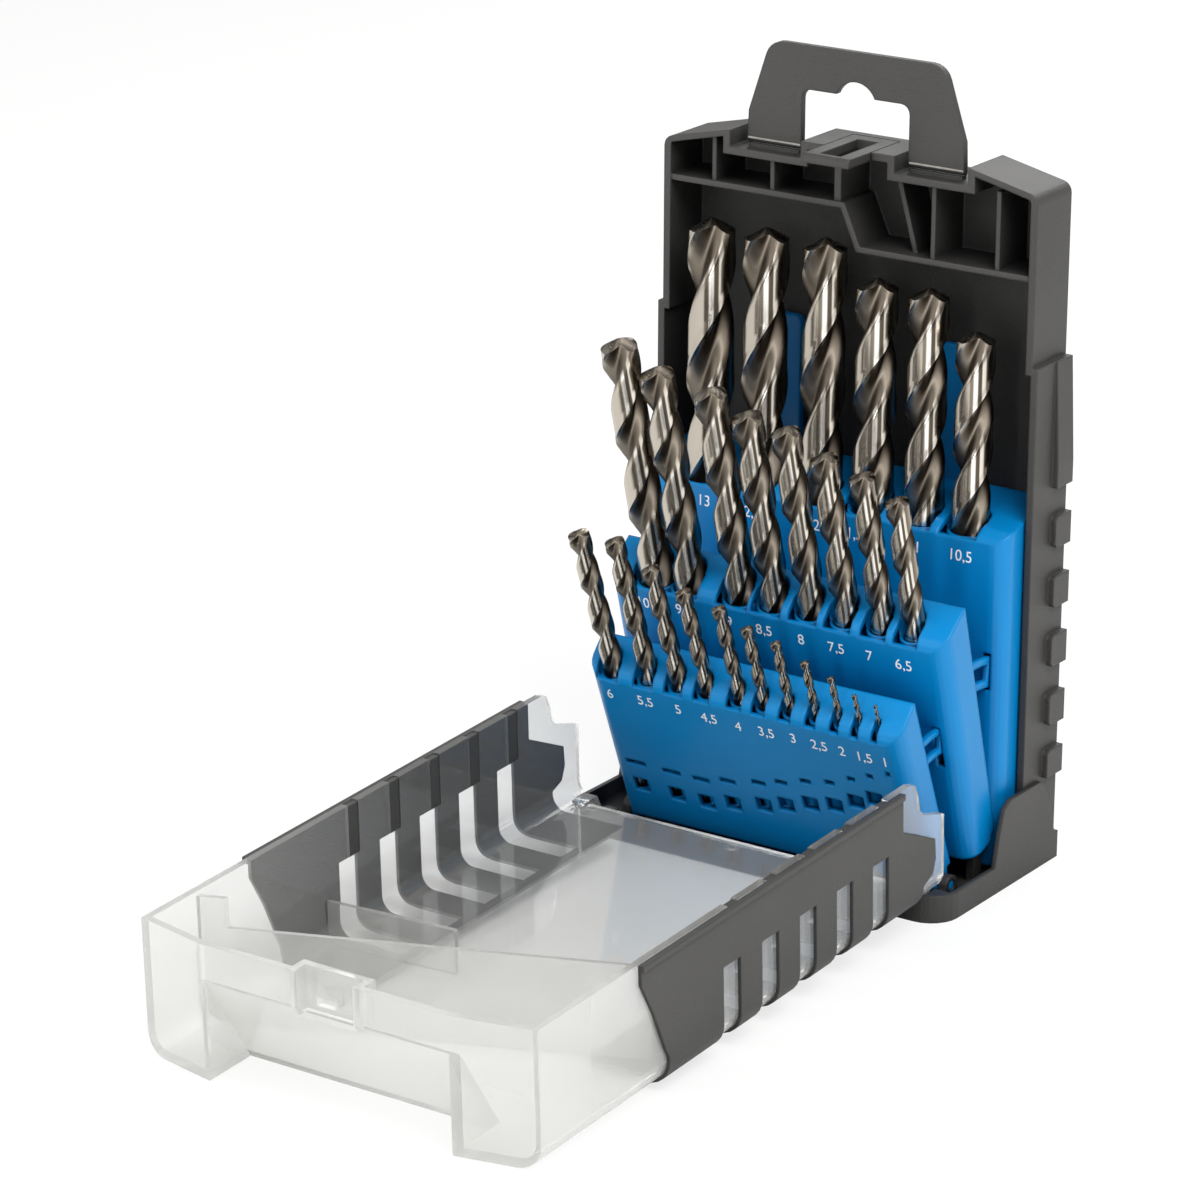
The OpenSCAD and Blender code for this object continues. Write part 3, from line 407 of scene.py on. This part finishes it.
def makeDrill(size):
    index = round((size - 1) * 2)
    r, total, fluted = size / 2000, overall[index] / 1000, alongFlutes[index] / 1000
    sides, half = drillShape["sides"], drillShape["half"]
    steep = 1 / math.tan(math.radians(drillShape["pointAngle"] / 2))
    shank, shoulder = total - fluted, total - r * steep
    lead = size / 1000 * drillShape["lead"][0 if size >= 12 else 1 if size > 10 else 2]
    steps = [shank + size / 1000 * drillShape["runOut"] * k / 3 for k in range(4)] + [shoulder]
    deselectAll()
    bpy.ops.mesh.primitive_circle_add(vertices=sides, radius=r, fill_type="NGON")
    drill = bpy.context.object
    bpy.ops.object.mode_set(mode="EDIT")
    low = 0
    for z in steps:
        bpy.ops.mesh.extrude_region_move(TRANSFORM_OT_translate={"value": (0, 0, z - low)})
        low = z

    def column(vert):
        return round(math.atan2(vert.co.y, vert.co.x) / (2 * math.pi) * sides) % (sides // 2)

    for k, share in enumerate(half):
        for level, part in ((1, 0.4), (2, 0.8), (3, 1), (4, 1)):
            pick(drill, lambda v: abs(v.co.z - steps[level]) < 1e-6 and column(v) == k)
            s = 1 + (share - 1) * part
            bpy.ops.transform.resize(value=(s, s, 1), center_override=(0, 0, 0))
        pick(drill, lambda v: abs(v.co.z - shoulder) < 1e-6 and column(v) == k)
        # the flank falls away from the cutting edge towards the heel
        fall = abs(k - 11.5) / 11.5 * drillShape["relief"]
        bpy.ops.transform.translate(value=(0, 0, ((1 - share) * steep - fall) * r))
    # the point: a cone over the fluted section
    pick(drill, lambda f: f.calc_center_median().z > shoulder and abs(f.normal.z) > 0.5, "faces")
    bpy.ops.mesh.poke()
    pick(drill, lambda v: abs(v.co.x) + abs(v.co.y) < 1e-7 and v.co.z > shoulder)
    mesh = bmesh.from_edit_mesh(drill.data)
    apex = [v for v in mesh.verts if v.select]
    if apex:
        bpy.ops.transform.translate(value=(0, 0, total - apex[0].co.z))
    turn = 360 * (shoulder - steps[3]) / lead
    cuts = max(4, round(turn / drillShape["turnStep"]))
    middle = (steps[3] + shoulder) / 2
    pick(drill, lambda e: min(v.co.z for v in e.verts) < middle < max(v.co.z for v in e.verts),
         "edges")
    bpy.ops.mesh.subdivide(number_cuts=cuts)
    bpy.ops.mesh.select_all(action="SELECT")
    bpy.ops.mesh.normals_make_consistent(inside=False)
    bpy.ops.object.mode_set(mode="OBJECT")
    depth = drill.data.attributes.new("fluteDepth", "FLOAT", "POINT")
    for v, entry in zip(drill.data.vertices, depth.data):
        entry.value = 1 - math.hypot(v.co.x, v.co.y) / r if v.co.z > steps[2] else 0
        if v.co.z > shoulder + 1e-6:
            entry.value = min(entry.value, 0.25)
    twist = drill.modifiers.new("helix", "SIMPLE_DEFORM")
    twist.deform_method = "TWIST"
    twist.deform_axis = "Z"
    twist.angle = 2 * math.pi * total / lead
    bpy.ops.object.modifier_apply(modifier="helix")
    # every drill is turned so that its highest rim point lies at the same angle
    highest = max(drill.data.vertices, key=lambda v: v.co.z - abs(math.hypot(v.co.x, v.co.y) - r))
    drill.rotation_euler = (0, 0, math.radians(drillShape["phase"])
                            - math.atan2(highest.co.y, highest.co.x))
    bpy.ops.object.transform_apply(location=True, rotation=True, scale=True)
    around = drill.data.attributes.new("aroundAxis", "FLOAT_VECTOR", "POINT")
    for v, entry in zip(drill.data.vertices, around.data):
        entry.vector = Vector((v.co.x, v.co.y, 0)).normalized()
    rack, place, rise = drillPlaces[size]
    drill.rotation_euler = (math.radians(racks[rack]["tilt"]), 0, 0)
    drill.location = onRack(rack, place * rearHalf / 100, racks[rack]["depth"],
                            racks[rack]["seat"] + rise)
    bpy.ops.object.transform_apply(location=True, rotation=True, scale=True)
    bpy.ops.object.shade_smooth_by_angle(angle=math.radians(drillShape["smooth"]))
    node = "drill_%02d_%d" % (int(size), round(size * 10) % 10)
    drill.name = "fluted_" + node
    drill.data.materials.append(brightSteel)
    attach(drill, node)
    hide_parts(node)


for drillSize in drillPlaces:
    makeDrill(drillSize)
print("drills made")


# ---- printed numbers
prints = {
    # mm; figures are 0.72 of the font's size high, and set a little narrow
    "height": 3.15, "lift": 0.06, "thick": 0.03, "figure": 0.72, "spacing": 1.02, "narrow": 0.96,
    # text, x, height on the rack's front face when upright, mm
    "rear": {"depth": 26.6, "labels": [("13", -37.2, 89.4), ("12,5", -22.8, 88.9),
             ("12", -2.6, 89.1), ("11,5", 9.2, 88.9), ("11", 28.5, 88.9), ("10,5", 42.5, 89.1)]},
    "middle": {"depth": 40.25, "labels": [("10", -37.9, 72.2), ("9,5", -24.9, 72.6),
               ("9", -10.6, 72.3), ("8,5", 0.2, 72.0), ("8", 11.6, 71.7), ("7,5", 22.3, 71.5),
               ("7", 32.3, 71.4), ("6,5", 42.6, 70.9)]},
    "front": {"depth": 51.3, "labels": [("6", -39.2, 51.5), ("5,5", -27.9, 51.7),
              ("5", -17.5, 51.6), ("4,5", -7.9, 51.1), ("4", 1.1, 50.7), ("3,5", 9.8, 50.9),
              ("3", 18.1, 51.1), ("2,5", 26, 50.8), ("2", 32.9, 50.7), ("1,5", 39.5, 50.4),
              ("1", 45.8, 50.4)]},
}


def joinAs(pieces, name, material, body):
    deselectAll()
    for piece in pieces:
        piece.select_set(True)
    bpy.context.view_layer.objects.active = pieces[0]
    if len(pieces) > 1:
        bpy.ops.object.join()
    joined = bpy.context.object
    joined.name = name
    joined.data.materials.clear()
    joined.data.materials.append(material)
    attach(joined, body)
    return joined


def makeNumbers(rack):
    look, made = prints[rack], []
    for words, x, z in look["labels"]:
        deselectAll()
        bpy.ops.object.text_add()
        label = bpy.context.object
        label.data.body = words
        label.data.align_x = "CENTER"
        label.data.size = prints["height"] / prints["figure"]
        label.data.extrude = prints["thick"]
        label.data.space_character = prints["spacing"]
        bpy.ops.object.convert(target="MESH")
        label = bpy.context.object
        label.rotation_euler = (math.pi / 2 + math.radians(racks[rack]["tilt"]), 0, 0)
        label.scale = (prints["narrow"] / 1000, 0.001, 0.001)
        label.location = onRack(rack, x, look["depth"] + prints["lift"],
                                z - prints["height"] / 2)
        bpy.ops.object.transform_apply(location=True, rotation=True, scale=True)
        made.append(label)
    joinAs(made, "numbers_" + rack, ink, racks[rack]["body"])


for rackName in ("rear", "middle", "front"):
    makeNumbers(rackName)
print("numbers printed")

# ---- small details
# places on the closed lid: across, height and depth from the back plane, mm
lidMarks = {"hingeDepth": 58, "hingeZ": 4.5, "open": 92.6, "floor": 51.9, "wire": 0.16,
            "rings": [(-47.5, 10.4, 1.7), (-1.4, 12.3, 2.0), (-1.4, 12.3, 1.1)]}


def onLid(x, z, depth):
    t = math.radians(lidMarks["open"])
    hingeY = racks["backY"] - lidMarks["hingeDepth"]
    y, z = racks["backY"] - depth - hingeY, z - lidMarks["hingeZ"]
    return Vector((x, hingeY + y * math.cos(t) - z * math.sin(t),
                   lidMarks["hingeZ"] + y * math.sin(t) + z * math.cos(t))) / 1000


# witness rings that ejector pins leave in the lid's floor
def makeLidRings():
    made = []
    for x, z, radius in lidMarks["rings"]:
        deselectAll()
        bpy.ops.mesh.primitive_torus_add(major_radius=radius / 1000, major_segments=48,
                                         minor_radius=lidMarks["wire"] / 1000, minor_segments=8)
        ring = bpy.context.object
        ring.rotation_euler = (math.radians(lidMarks["open"] - 90), 0, 0)
        ring.location = onLid(x, z, lidMarks["floor"])
        bpy.ops.object.transform_apply(location=True, rotation=True, scale=True)
        bpy.ops.object.shade_smooth()
        made.append(ring)
    joinAs(made, "ejector_rings", clearPp, "lid")


# mm
filmHinge = {"inner": 16.6, "outer": 32.8, "front": 14.02, "z": 187.5, "width": 0.5,
             "proud": 0.25, "soft": 0.1, "plain": "#6d6a66", "pale": "#b5b1ab"}


# the bent polypropylene of a film hinge turns pale along the crease
def whitenedFilm():
    material, tree = newMaterial("stressWhitenedPlastic")
    place = addNode(tree, "TexCoord")
    fade = addNode(tree, "TexNoise", {"Scale": 400, "Detail": 2},
                   {"Vector": place.outputs["Object"]})
    tone = addNode(tree, "Mix", {6: linear(filmHinge["plain"]), 7: linear(filmHinge["pale"])},
                   {0: fade.outputs["Fac"]}, data_type="RGBA")
    skin = addNode(tree, "BsdfPrincipled", {"Roughness": 0.4}, {"Base Color": tone.outputs[2]})
    addNode(tree, "OutputMaterial", None, {"Surface": skin.outputs[0]})
    return material


def makeFilmHinge():
    made = []
    for side in (-1, 1):
        deselectAll()
        bpy.ops.mesh.primitive_cube_add(size=0.001)
        crease = bpy.context.object
        middle = (filmHinge["inner"] + filmHinge["outer"]) / 2
        crease.scale = (filmHinge["outer"] - filmHinge["inner"], filmHinge["proud"],
                        filmHinge["width"])
        crease.location = Vector((side * middle, racks["backY"] - filmHinge["front"],
                                  filmHinge["z"])) / 1000
        bpy.ops.object.transform_apply(location=True, rotation=True, scale=True)
        soft = crease.modifiers.new("soft", "BEVEL")
        soft.width = filmHinge["soft"] / 1000
        soft.segments = 2
        bpy.ops.object.modifier_apply(modifier="soft")
        made.append(crease)
    joinAs(made, "film_hinge_crease", whitenedFilm(), "hanger")


makeLidRings()
makeFilmHinge()
print("details made")
